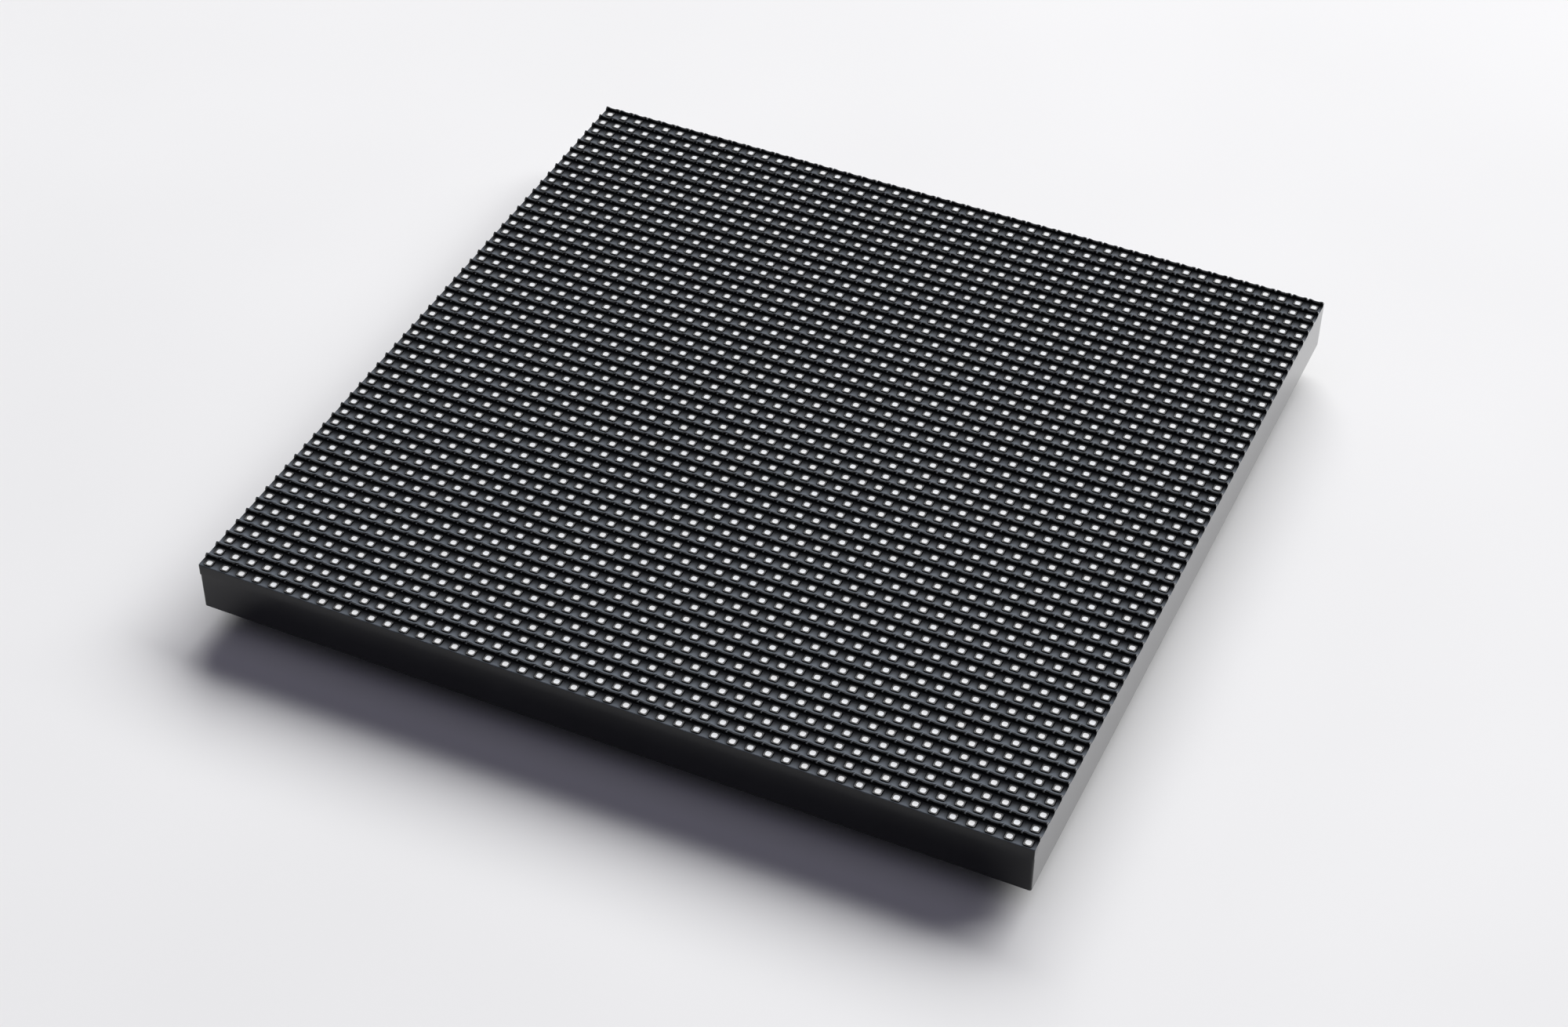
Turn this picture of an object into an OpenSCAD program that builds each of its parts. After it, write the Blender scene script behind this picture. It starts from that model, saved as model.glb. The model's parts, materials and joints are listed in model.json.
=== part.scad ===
// Outdoor LED display module: a square tile of surface-mount LEDs behind a louvred black mask.
// Millimetres. +Z points out of the display face, +Y is the top of the picture, and the module
// lies on the ends of its rear mounting posts at Z = 0, with the origin under its middle.

/* [Display grid] */
// Distance between neighbouring LEDs
pitch = 4; // [3.6:0.1:5]
// Number of LED columns
columns = 48; // [44:4:56]
// Number of LED rows
rows = 48; // [44:4:56]
// How much smaller the module is than its cell in a wall of modules
tile_gap = 0.2; // [0.1:0.05:0.6]
// How far the LED grid sits towards the bottom of the picture
grid_drop = 0.45; // [0:0.05:0.6]

/* [LED package] */
// Side of the square LED package
led_w = 1.8; // [1.4:0.1:1.9]
// Height of the LED package above the board
led_h = 1.3; // [1:0.1:1.8]
// How far the LED face stands above the mask floor
led_proud = 0.1; // [0:0.05:0.3]

/* [Louvred mask] */
// Clearance around an LED in its row opening
window_gap = 0.15; // [0.05:0.05:0.2]
// Height of a louvre above the mask floor
louvre_h = 1.05; // [0.5:0.05:2]
// Distance from the row opening to the foot of the louvre above it
louvre_setback = 0.2; // [0.1:0.05:0.3]
// Draft of the louvre's shaded front face
louvre_lean = 0.08; // [0:0.02:0.2]
// Width of the louvre's flat top
louvre_top = 0.3; // [0.15:0.05:0.4]
// Run of the louvre's sloping back
louvre_back = 1.1; // [0.6:0.05:1.1]
// Thickness of the mask's lip around the board
lip_t = 0.45; // [0.3:0.05:0.5]
// Radius of the module's upright corners
corner_r = 0.5; // [0.2:0.1:2]

/* [Circuit board] */
// Thickness of the board
board_t = 1.6; // [1:0.2:2.4]
// Clearance between the board's edge and the mask's lip
board_gap = 0.05; // [0.03:0.01:0.1]

/* [Rear cover] */
// Height of the module's side, from the mask floor to the rear rim
side_h = 11.9; // [11:0.1:16]
// Thickness of the side wall
wall_t = 3; // [2.8:0.1:5]
// Thickness of the rear panel
plate_t = 2; // [1.6:0.1:2.4]
// How far the rear panel lies inside the rim
plate_recess = 1; // [0.6:0.1:1.4]
// Width of the stiffening ribs on the rear panel
rib_w = 2; // [1:0.2:4]

/* [Rear gasket] */
// Width of the rim gasket
gasket_w = 1.6; // [1:0.1:2]
// Depth of the groove that holds the gasket
gasket_groove = 1; // [0.5:0.1:1.5]
// How far the gasket stands out of its groove
gasket_proud = 0.6; // [0.3:0.1:1.2]

/* [Mounting posts] */
// Length of a post beyond the rim
post_len = 6.5; // [5:0.5:12]
// Diameter of a post
post_d = 9; // [8:0.5:12]
// Outside diameter of the threaded insert
insert_d = 6; // [5:0.2:6.6]
// Length of the threaded insert
insert_len = 8; // [5:0.5:10]
// Bore of the threaded insert, the core of its thread
thread_d = 3.3; // [2.5:0.1:4.2]
// Distance of the outer posts from the middle, in LED rows
post_rows = 16; // [13:1:18]
// Distance of the post lines from the module's sides, in LED columns
post_edge = 6; // [4:1:8]

/* [Locating pins] */
// Diameter of a locating pin
pin_d = 5; // [3:0.5:6]
// Gap between a pin's tip and the plane of the post ends
pin_short = 0.8; // [0.4:0.1:2]
// Length of the taper at a pin's tip
pin_taper = 1.2; // [0.5:0.1:2]
// Distance of a pin from the middle across the module, in LED columns
pin_cols = 12; // [9:1:15]

/* [Assembly screws] */
// Core diameter of a screw
screw_d = 1.6; // [1.2:0.1:1.8]
// Gap between a screw's tip and the end of its bore
screw_tip = 2.3; // [1.5:0.1:3]
// Diameter of a screw's head
head_d = 4; // [3:0.2:4.4]
// Height of a screw's head
head_h = 1.5; // [1:0.1:1.8]
// Clearance around a screw
screw_gap = 0.05; // [0.03:0.01:0.1]
// Outside diameter of the mask's screw pillars
pillar_d = 2.6; // [2.2:0.1:2.6]
// Clearance around a screw pillar
pillar_gap = 0.1; // [0.05:0.05:0.15]
// How far a screw pillar reaches up beside the LEDs
pillar_root = 0.6; // [0.3:0.1:0.9]
// Thickness of cover that a screw clamps
clamp_t = 1.5; // [1:0.1:2]
// Outside diameter of the cover's screw bosses
boss_d = 6.5; // [6:0.5:9]
// Distance of the inner screw lines from the middle, in LED columns
screw_cols = 6; // [5:1:8]
// Distance of the inner screw lines from the middle, in LED rows
screw_rows = 10; // [9:1:11]
// Distance of the outer screw lines from the module's ends, in LED rows
screw_edge = 2; // [2:1:3]

/* [Data headers] */
// Length of a header's shroud
header_l = 28; // [26:0.5:32]
// Width of a header's shroud
header_w = 8.8; // [8.4:0.1:10]
// Height of a header above the board
header_h = 9.1; // [8.5:0.1:10]
// Thickness of the shroud's walls
header_wall = 1.1; // [0.8:0.1:1.4]
// Thickness of the shroud's floor
header_floor = 2.5; // [1.5:0.1:3]
// Width of the polarising slot
key_w = 4.5; // [3:0.5:6]
// Distance between pins
pin_pitch = 2.54; // [2:0.01:2.6]
// Number of pins in a header's row
header_pins = 8; // [5:1:8]
// Side of a square pin
pin_t = 0.64; // [0.5:0.02:0.8]
// Length of a pin beyond the shroud's floor
pin_len = 6; // [4:0.2:6.4]
// Distance of the headers from the middle, in LED columns
header_cols = 12; // [11:1:13]

/* [Power header] */
// Distance between power pins
power_pitch = 3.96; // [3.5:0.02:4.2]
// Number of power pins
power_pins_n = 4; // [2:1:4]
// Side of a square power pin
power_pin_t = 1.14; // [0.8:0.02:1.4]
// Length of a power pin beyond the base
power_pin_len = 7; // [5:0.2:8]
// Length of base beyond the outer pins
power_end = 2.26; // [1.5:0.02:3]
// Width of the power header's base
power_w = 8.6; // [7:0.2:10]
// Height of the power header's base
power_floor = 3.4; // [2:0.2:5]
// Height of the power header's locking wall above the board
power_h = 9; // [8.6:0.1:10]
// Thickness of the locking wall
power_wall = 1.4; // [1:0.1:2]

/* [Seals] */
// Width of the seal between a header and its opening
seal_t = 1; // [0.6:0.1:1.5]
// Width of the raised collar around a header's opening
collar_t = 1.6; // [1:0.2:3]

/* [Electronics] */
// Length of an LED driver
driver_l = 8.65; // [8:0.05:10]
// Width of an LED driver across its leads
driver_w = 6; // [5:0.1:6.4]
// Height of an LED driver
driver_h = 1.5; // [1:0.1:2]
// Length of a row switch
switch_l = 4.9; // [4:0.1:6]
// Height of a row switch
switch_h = 1.6; // [1:0.1:2]
// Length of a signal buffer
buffer_l = 6.5; // [6:0.1:7]
// Height of a thin logic package
logic_h = 1.1; // [0.8:0.1:1.4]
// Length of a row decoder
decoder_l = 5; // [4:0.1:6]
// Diameter of a bulk capacitor's can
can_d = 6.3; // [4:0.1:6.3]
// Height of a bulk capacitor's can
can_h = 4.5; // [3:0.1:4.6]
// Height of a bulk capacitor's base
can_base_h = 0.6; // [0.4:0.1:0.8]
// Length of a ceramic capacitor
chip_cap_l = 2; // [1.6:0.1:2.2]
// Height of a ceramic capacitor
chip_cap_h = 0.9; // [0.5:0.1:1.2]
// Length of a chip resistor
chip_res_l = 1.6; // [1:0.1:2]
// Height of a chip resistor
chip_res_h = 0.45; // [0.3:0.05:0.6]
// Length of a resistor network
network_l = 3.2; // [2:0.1:4]
// Gap between a driver and the small parts beside it
chip_gap = 0.6; // [0.3:0.1:1]

/* [Hidden] */
$fn = 48;
cut = 1;
panel_w = columns * pitch - tile_gap;
panel_d = rows * pitch - tile_gap;
window_w = led_w + 2 * window_gap;
row_span = (columns - 1) * pitch + window_w;

// Levels from the post ends upwards
z_rim = post_len;
z_face = z_rim + side_h;
z_led = z_face + led_proud;
z_board = z_led - led_h;
z_back = z_board - board_t;
z_top = z_face + louvre_h;
z_plate = z_rim + plate_recess;
z_inside = z_plate + plate_t;
z_seat = z_inside + clamp_t - plate_t / 2;
z_clamp = z_seat - clamp_t;
z_pillar = z_seat + pillar_gap;

board_w = panel_w - 2 * (lip_t + board_gap);
board_d = panel_d - 2 * (lip_t + board_gap);
pillar_hole = pillar_d + 2 * pillar_gap;
pilot_d = screw_d + 2 * screw_gap;
head_hole = head_d + 8 * screw_gap;
header_window = [header_w + 2 * seal_t, header_l + 2 * seal_t];
power_l = (power_pins_n - 1) * power_pitch + 2 * power_end;
power_window = [power_l + 2 * seal_t, power_w + 2 * seal_t];
header_x = header_cols * pitch;

post_x = (columns / 2 - post_edge) * pitch;
post_y = post_rows * pitch;
post_spots = [for (x = [-post_x, post_x], y = [-post_y, 0, post_y]) [x, y]];
pin_spots = [[-pin_cols * pitch, post_y], [pin_cols * pitch, -post_y]];

screw_x = screw_cols * pitch;
screw_y = screw_rows * pitch;
screw_y_end = (rows / 2 - screw_edge) * pitch;
screw_xs = [-post_x, -screw_x, screw_x, post_x];
screw_ys = [-screw_y_end, -screw_y, screw_y, screw_y_end];
screw_spots = [for (x = screw_xs, y = screw_ys) [x, y - grid_drop]];

// Places of the parts on the back of the board, in LED columns and rows from its middle
driver_cols = [3, 10, 15];
driver_rows = [6, 13.5, 19];
switch_cols = columns / 2 - post_edge + 3;
switch_rows = [5, 12.5, 17.5];
buffer_cols = 7;
buffer_rows = 2;
decoder_rows = 3.5;
can_places = [[4.5, 0], [15, 0], [0, 8.5]];
network_cols = 9.75;
network_rows = [0.75, 2.25];

driver_spots = [for (i = [-1, 1], c = driver_cols, j = [-1, 1], r = driver_rows) pitch * [i * c, j * r]];
switch_spots = [for (i = [-1, 1], j = [-1, 1], r = switch_rows) pitch * [i * switch_cols, j * r]];
buffer_spots = [for (i = [-1, 1], j = [-1, 1]) pitch * [i * buffer_cols, j * buffer_rows]];
decoder_spots = [for (j = [-1, 1]) pitch * [0, j * decoder_rows]];
can_spots = [for (i = [-1, 1], place = can_places) pitch * i * place];
network_spots = [for (i = [-1, 1], j = [-1, 1], r = network_rows) pitch * [i * network_cols, j * r]];

function col_x(i) = (i - (columns - 1) / 2) * pitch;
function row_y(j) = (j - (rows - 1) / 2) * pitch - grid_drop;

// Shapes shared by several pieces

module round_rect(w, d, r) {
    square([w - 2 * r, d], center = true);
    square([w, d - 2 * r], center = true);
    for (x = [-1, 1], y = [-1, 1])
        translate([x * (w / 2 - r), y * (d / 2 - r)])
            circle(r);
}

module slab(w, d, z0, z1) {
    translate([-w / 2, -d / 2, z0])
        cube([w, d, z1 - z0]);
}

module round_slab(w, d, r, z0, z1) {
    translate([0, 0, z0])
        linear_extrude(height = z1 - z0)
            round_rect(w, d, r);
}

module rod(d, z0, z1) {
    translate([0, 0, z0])
        cylinder(d = d, h = z1 - z0);
}

module at(spots) {
    for (p = spots)
        translate([p[0], p[1], 0])
            children();
}

// A part that hangs from the back of the board
module chip(l, w, h) {
    slab(l, w, z_back - h, z_back);
}

// Louvred mask

// Outline of one louvre above the mask floor, from its shaded front to its sloping back
function louvre(j) =
    let (foot = row_y(j) + window_w / 2 + louvre_setback, lip = foot + louvre_lean)
    [
        [foot, z_face],
        [lip, z_top],
        [lip + louvre_top, z_top],
        [lip + louvre_top + louvre_back, z_face]
    ];

module louvred_block() {
    edge = panel_d / 2;
    outline = concat(
        [[-edge, z_back], [-edge, z_face]],
        [for (j = [0 : rows - 1]) each louvre(j)],
        [[edge + louvre_back, z_face], [edge + louvre_back, z_back]]
    );
    rotate([90, 0, 90])
        linear_extrude(height = panel_w, center = true)
            polygon(outline);
}

module row_openings() {
    for (j = [0 : rows - 1])
        translate([0, row_y(j), 0])
            slab(row_span, window_w, z_back - cut, z_top + cut);
}

module screw_pillar() {
    difference() {
        rod(pillar_d, z_pillar, z_board + pillar_root);
        rod(pilot_d, z_pillar - cut, z_board);
    }
}

module louvre_mask() {
    color("#191a1e") {
        difference() {
            intersection() {
                louvred_block();
                round_slab(panel_w, panel_d, corner_r, z_back, z_top);
            }
            slab(panel_w - 2 * lip_t, panel_d - 2 * lip_t, z_back - cut, z_board);
            row_openings();
        }
        at(screw_spots)
            screw_pillar();
    }
}

// LED packages

module leds(first, last) {
    color("#e9eaea")
        for (i = [first : last], j = [0 : rows - 1])
            translate([col_x(i), row_y(j), 0])
                slab(led_w, led_w, z_board, z_led);
}

// Circuit board

module led_board() {
    color("#14301f")
        difference() {
            slab(board_w, board_d, z_back, z_board);
            at(screw_spots)
                rod(pillar_hole, z_back - cut, z_board + cut);
        }
}

// Rear cover

module cover_shell() {
    inner_w = panel_w - 2 * wall_t;
    inner_d = panel_d - 2 * wall_t;
    difference() {
        round_slab(panel_w, panel_d, corner_r, z_rim, z_back);
        slab(inner_w, inner_d, z_inside, z_back + cut);
        slab(inner_w, inner_d, z_rim - cut, z_plate);
    }
}

module rear_ribs() {
    reach_x = panel_w - wall_t;
    reach_y = panel_d - wall_t;
    for (x = screw_xs)
        translate([x, 0, 0])
            slab(rib_w, reach_y, z_rim, z_inside);
    for (y = [-screw_y, screw_y])
        translate([0, y - grid_drop, 0])
            slab(reach_x, rib_w, z_rim, z_inside);
}

module collar(window) {
    slab(window[0] + 2 * collar_t, window[1] + 2 * collar_t, z_rim, z_inside);
}

module locating_pin() {
    rod(pin_d, pin_short + pin_taper, z_inside);
    translate([0, 0, pin_short])
        cylinder(d1 = pin_d - pin_taper, d2 = pin_d, h = pin_taper);
}

module screw_bore() {
    rod(head_hole, z_rim - cut, z_clamp);
    rod(pilot_d, z_clamp - cut, z_seat + cut);
    rod(pillar_hole, z_seat, z_back + cut);
}

module gasket_ring(z0, z1) {
    inset = (wall_t - gasket_w) / 2;
    difference() {
        slab(panel_w - 2 * inset, panel_d - 2 * inset, z0, z1);
        slab(panel_w - 2 * (inset + gasket_w), panel_d - 2 * (inset + gasket_w), z0 - cut, z1 + cut);
    }
}

module header_places() {
    for (x = [-header_x, header_x])
        translate([x, 0, 0])
            children();
}

module rear_cover() {
    color("#1b1c1f")
        difference() {
            union() {
                cover_shell();
                rear_ribs();
                header_places()
                    collar(header_window);
                collar(power_window);
                at(post_spots)
                    rod(post_d, 0, z_back);
                at(pin_spots)
                    locating_pin();
                at(screw_spots)
                    rod(boss_d, z_rim, z_back);
            }
            gasket_ring(z_rim - cut, z_rim + gasket_groove);
            header_places()
                slab(header_window[0], header_window[1], z_rim - cut, z_inside + cut);
            slab(power_window[0], power_window[1], z_rim - cut, z_inside + cut);
            at(post_spots)
                rod(insert_d, -cut, insert_len);
            at(screw_spots)
                screw_bore();
        }
}

module rear_gasket() {
    color("#3a3b3d")
        gasket_ring(z_rim - gasket_proud, z_rim + gasket_groove);
}

// Fixings

module threaded_inserts() {
    color("#c39a4a")
        at(post_spots)
            difference() {
                rod(insert_d, 0, insert_len);
                rod(thread_d, -cut, insert_len + cut);
            }
}

module assembly_screws() {
    color("#b9bbbd")
        at(screw_spots) {
            rod(head_d, z_clamp - head_h, z_clamp);
            rod(screw_d, z_clamp - head_h / 2, z_board - screw_tip);
        }
}

// Connectors

module header_pin_places() {
    for (i = [0 : header_pins - 1], s = [-1, 1])
        translate([s * pin_pitch / 2, (i - (header_pins - 1) / 2) * pin_pitch, 0])
            children();
}

// A boxed pin header whose mouth faces the rear, with its polarising slot on the side that faces key_side
module data_header(key_side) {
    z_mouth = z_back - header_h;
    z_floor = z_back - header_floor;
    inner_w = header_w - 2 * header_wall;
    inner_l = header_l - 2 * header_wall;
    color("#222326")
        difference() {
            slab(header_w, header_l, z_mouth, z_back);
            slab(inner_w, inner_l, z_mouth - cut, z_floor);
            translate([key_side * (header_w - header_wall) / 2, 0, 0])
                slab(header_wall + cut, key_w, z_mouth - cut, z_floor);
            header_pin_places()
                slab(pin_t, pin_t, z_floor - cut, z_back + cut);
        }
}

module data_pins() {
    color("#d3b15c")
        header_places()
            header_pin_places()
                slab(pin_t, pin_t, z_back - header_floor - pin_len, z_back);
}

module power_pin_places() {
    for (i = [0 : power_pins_n - 1])
        translate([(i - (power_pins_n - 1) / 2) * power_pitch, 0, 0])
            children();
}

module power_header() {
    color("#e6e3da")
        difference() {
            union() {
                slab(power_l, power_w, z_back - power_floor, z_back);
                translate([0, (power_w - power_wall) / 2, 0])
                    slab(power_l, power_wall, z_back - power_h, z_back);
            }
            power_pin_places()
                slab(power_pin_t, power_pin_t, z_back - power_floor - cut, z_back + cut);
        }
}

module power_pins() {
    color("#c8c9ca")
        power_pin_places()
            slab(power_pin_t, power_pin_t, z_back - power_floor - power_pin_len, z_back);
}

module seal_ring(outer, inner) {
    difference() {
        slab(outer[0], outer[1], z_plate, z_inside);
        slab(inner[0], inner[1], z_plate - cut, z_inside + cut);
    }
}

module connector_seals() {
    color("#47484a") {
        header_places()
            seal_ring(header_window, [header_w, header_l]);
        seal_ring(power_window, [power_l, power_w]);
    }
}

// Electronics on the back of the board

module driver_ics() {
    color("#202124")
        at(driver_spots)
            chip(driver_l, driver_w, driver_h);
}

module row_switches() {
    color("#202124")
        at(switch_spots)
            chip(switch_l, driver_w, switch_h);
}

module signal_buffers() {
    color("#202124")
        at(buffer_spots)
            chip(buffer_l, driver_w, logic_h);
}

module row_decoders() {
    color("#202124")
        at(decoder_spots)
            chip(decoder_l, driver_w, logic_h);
}

module bulk_capacitors() {
    color("#c4c6c8")
        at(can_spots)
            rod(can_d, z_back - can_base_h - can_h, z_back - can_base_h);
}

module capacitor_bases() {
    color("#1c1d1f")
        at(can_spots)
            chip(can_d, can_d, can_base_h);
}

module ceramic_capacitors() {
    side = driver_w / 2 + chip_gap + chip_cap_l / 4;
    color("#b89a70")
        at(driver_spots)
            translate([0, side, 0])
                chip(chip_cap_l, chip_cap_l / 2, chip_cap_h);
}

module set_resistors() {
    side = driver_w / 2 + chip_gap + chip_res_l / 4;
    color("#2a2b2e")
        at(driver_spots)
            translate([0, -side, 0])
                chip(chip_res_l, chip_res_l / 2, chip_res_h);
}

module resistor_networks() {
    color("#2a2b2e")
        at(network_spots)
            chip(network_l / 2, network_l, chip_res_h);
}

louvre_mask();
leds(0, columns / 2 - 1);  // leds_left
leds(columns / 2, columns - 1);  // leds_right
led_board();
rear_cover();
rear_gasket();
threaded_inserts();
assembly_screws();
translate([-header_x, 0, 0]) data_header(-1);  // data_header_in
translate([header_x, 0, 0]) data_header(-1);  // data_header_out
data_pins();
power_header();
power_pins();
connector_seals();
driver_ics();
row_switches();
signal_buffers();
row_decoders();
bulk_capacitors();
capacitor_bases();
ceramic_capacitors();
set_resistors();
resistor_networks();
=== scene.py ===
"""Looks of an outdoor LED display module: 48 by 48 surface-mount LEDs in a black louvred mask.

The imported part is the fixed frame, with +Z out of the display face and the post ends at Z = 0.
Pieces are worked in millimetres and become metres when they are finished.
"""

from __future__ import annotations

import json
import logging
import math
from dataclasses import dataclass
from enum import Enum
from functools import partialmethod
from typing import Callable, Sequence

import bmesh
import bpy
from mathutils import Matrix, Vector

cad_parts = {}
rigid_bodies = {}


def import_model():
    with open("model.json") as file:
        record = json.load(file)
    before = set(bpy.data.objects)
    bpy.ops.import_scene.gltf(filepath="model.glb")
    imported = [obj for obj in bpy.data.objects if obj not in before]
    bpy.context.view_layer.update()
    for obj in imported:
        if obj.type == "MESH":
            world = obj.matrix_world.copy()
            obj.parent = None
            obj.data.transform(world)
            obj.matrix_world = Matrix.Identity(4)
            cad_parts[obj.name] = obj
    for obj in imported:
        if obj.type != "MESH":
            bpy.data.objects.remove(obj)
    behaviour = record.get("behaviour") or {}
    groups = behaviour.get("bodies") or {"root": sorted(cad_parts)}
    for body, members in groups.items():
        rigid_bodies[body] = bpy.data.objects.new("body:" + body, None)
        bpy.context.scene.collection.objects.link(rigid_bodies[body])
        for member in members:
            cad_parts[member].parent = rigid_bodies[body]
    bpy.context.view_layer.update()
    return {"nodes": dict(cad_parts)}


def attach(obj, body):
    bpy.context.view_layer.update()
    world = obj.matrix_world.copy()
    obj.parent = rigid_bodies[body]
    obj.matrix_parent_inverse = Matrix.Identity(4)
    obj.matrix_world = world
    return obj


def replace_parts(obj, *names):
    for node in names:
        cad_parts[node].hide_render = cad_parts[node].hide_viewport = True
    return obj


LOG = logging.getLogger("led_panel")
MM = 0.001
# Millimetres within which two places count as one, and within which a cut finds a corner.
NEAR = 1e-3
CUT_NEAR = 1e-5
# The least upright part of a flat face's normal, and the most of a standing one's.
FLAT = 0.9
STEEP = 0.1
# Faces that meet at less than this angle are shaded as one.
SMOOTH_DEG = 32.0
PLASTIC_IOR = 1.5

Colour = tuple[float, float, float]
Triple = tuple[float, float, float]
Spot = tuple[float, float]
Span = tuple[float, float]
Ring = tuple[float, float]
Edge = bmesh.types.BMEdge
Face = bmesh.types.BMFace
Node = bpy.types.Node
Socket = bpy.types.NodeSocket
Material = bpy.types.Material
Object = bpy.types.Object
PlaceTest = Callable[[Vector], bool]
FaceTest = Callable[[Face], bool]
EdgeTest = Callable[[Edge], bool]


class Half(Enum):
    """The two halves in which the display face is modelled."""

    LEFT = "left"
    RIGHT = "right"


class Pick(Enum):
    """What is selected on the piece under work."""

    CORNERS = "VERT"
    EDGES = "EDGE"
    FACES = "FACE"


def in_plane(edge: Edge, axis: int, place: float) -> bool:
    """Whether an edge lies in a plane across an axis: 0 for X, 1 for Y, 2 for Z."""
    return all(abs(corner.co[axis] - place) < NEAR for corner in edge.verts)


def upright(edge: Edge) -> bool:
    """Whether an edge leads from one level to another."""
    return abs(edge.verts[0].co.z - edge.verts[1].co.z) > NEAR


def shades(colour: Colour, share: float) -> tuple[Colour, Colour]:
    """A darker and a paler shade of a colour, by the same share."""
    return tuple(c * (1.0 - share) for c in colour), tuple(c * (1.0 + share) for c in colour)


def centred(count: int, pitch: float) -> list[float]:
    """Places along a line, evenly about its middle."""
    return [(i - (count - 1) / 2) * pitch for i in range(count)]


def thread(start: float, lead: float, turns: int, halfway: float, end: float) -> list[Ring]:
    """The rings of a thread, drawn as one groove for each turn.

    Args:
        start: The level at which it starts.
        lead: Length of a turn.
        turns: How many turns it has.
        halfway: Radius halfway through a turn.
        end: Radius at the end of a turn.

    Returns:
        The radius and level of each ring.
    """
    rings: list[Ring] = []
    for turn in range(turns):
        level = start + turn * lead
        rings += [(halfway, level + lead / 2), (end, level + lead)]
    return rings


class Handwork:
    """Work on one piece at a time, in millimetres, with its corners, edges and faces picked by place."""

    ROUND_STEPS = 2
    piece: str
    obj: Object

    def begin(self, piece: str) -> None:
        """Begins a new piece, with nothing selected, so that no other object is worked on.

        Args:
            piece: The name that the piece gets.
        """
        if bpy.context.mode != "OBJECT":
            bpy.ops.object.mode_set(mode="OBJECT")
        bpy.ops.object.select_all(action="DESELECT")
        self.piece = piece

    def take(self) -> None:
        """Takes the active object as the piece, names it and goes into edit mode on it."""
        self.obj = bpy.context.active_object
        self.obj.name = self.piece
        self.obj.data.name = self.piece
        bpy.ops.object.mode_set(mode="EDIT")

    def start(self) -> None:
        """Starts the piece from the primitive that was just added, with its place applied."""
        bpy.ops.object.transform_apply(location=True, rotation=True, scale=True)
        self.take()
        bpy.ops.mesh.select_mode(type="VERT")

    def plane(self, size: float, at: Triple) -> None:
        """Starts the piece from a flat square of a given side and middle."""
        bpy.ops.mesh.primitive_plane_add(size=size, location=at)
        self.start()

    def block(self, size: Triple, at: Triple) -> None:
        """Starts the piece from a block of three given lengths and a given middle."""
        bpy.ops.mesh.primitive_cube_add(size=1.0, location=at, scale=size)
        self.start()

    def rod(self, radius: float, z0: float, z1: float, sides: int) -> None:
        """Starts the piece from a rod on the Z axis, between two levels."""
        bpy.ops.mesh.primitive_cylinder_add(
            vertices=sides, radius=radius, depth=z1 - z0, location=(0.0, 0.0, (z0 + z1) / 2)
        )
        self.start()

    def deselect(self, kind: Pick) -> None:
        """Clears the selection, ready for another kind."""
        bpy.ops.mesh.select_mode(type=kind.value)
        bpy.ops.mesh.select_all(action="DESELECT")

    def pick(self, kind: Pick, test: Callable[..., bool]) -> int:
        """Selects the corners, edges or faces that pass a test.

        Args:
            kind: Which of them.
            test: Takes a corner, edge or face of the edit mesh.

        Returns:
            How many were selected.
        """
        self.deselect(kind)
        mesh = bmesh.from_edit_mesh(self.obj.data)
        mesh.normal_update()
        kinds = {Pick.CORNERS: mesh.verts, Pick.EDGES: mesh.edges, Pick.FACES: mesh.faces}
        picked = [item for item in kinds[kind] if test(item)]
        for item in picked:
            item.select_set(True)
        if kind is Pick.CORNERS:
            mesh.select_flush_mode()
        bmesh.update_edit_mesh(self.obj.data)
        return len(picked)

    pick_edges = partialmethod(pick, Pick.EDGES)
    pick_faces = partialmethod(pick, Pick.FACES)

    def pick_corners(self, test: PlaceTest) -> int:
        """Selects the corners whose place passes a test, and counts them."""
        return self.pick(Pick.CORNERS, lambda corner: test(corner.co))

    def open_faces(self, test: FaceTest) -> None:
        """Takes away the faces that pass a test, and leaves their edges."""
        self.pick_faces(test)
        bpy.ops.mesh.delete(type="ONLY_FACE")

    def open_hole(self, test: FaceTest, rim: float) -> None:
        """Opens the faces that pass a test, but for a rim of a given width.

        Args:
            test: Takes a face.
            rim: The rim's width.
        """
        self.pick_faces(test)
        bpy.ops.mesh.inset(thickness=rim, depth=0.0)
        bpy.ops.mesh.delete(type="ONLY_FACE")

    def bridge(self, test: EdgeTest) -> None:
        """Joins by faces the two outlines whose edges pass a test."""
        self.pick_edges(test)
        bpy.ops.mesh.bridge_edge_loops()

    def fill_between(self) -> None:
        """Fills the flat gap between the open outlines."""
        self.pick_edges(lambda edge: not edge.is_manifold)
        bpy.ops.mesh.fill()

    def bisect(self, axis: int, place: float, outwards: float = 1.0, clear: bool = False) -> None:
        """Cuts what is selected along a plane.

        Args:
            axis: 0 for a plane across X, 1 across Y, 2 across Z.
            place: Where the plane lies on that axis.
            outwards: The sign of the side that is the outer one.
            clear: Whether the outer side goes.
        """
        point, normal = [0.0, 0.0, 0.0], [0.0, 0.0, 0.0]
        point[axis], normal[axis] = place, outwards
        bpy.ops.mesh.bisect(plane_co=point, plane_no=normal, clear_outer=clear, threshold=CUT_NEAR)

    def cut(self, axis: int, place: float, region: PlaceTest) -> None:
        """Cuts the faces of a region, told by their middles, along a plane."""
        self.pick_faces(lambda face: region(face.calc_center_median()))
        self.bisect(axis, place)

    def trim(self, axis: int, place: float) -> None:
        """Cuts away all that lies further out than a plane.

        Args:
            axis: 0 for a plane across X, 1 across Y.
            place: Where the plane lies on that axis.
        """
        bpy.ops.mesh.select_mode(type="FACE")
        bpy.ops.mesh.select_all(action="SELECT")
        self.bisect(axis, place, math.copysign(1.0, place), True)

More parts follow.
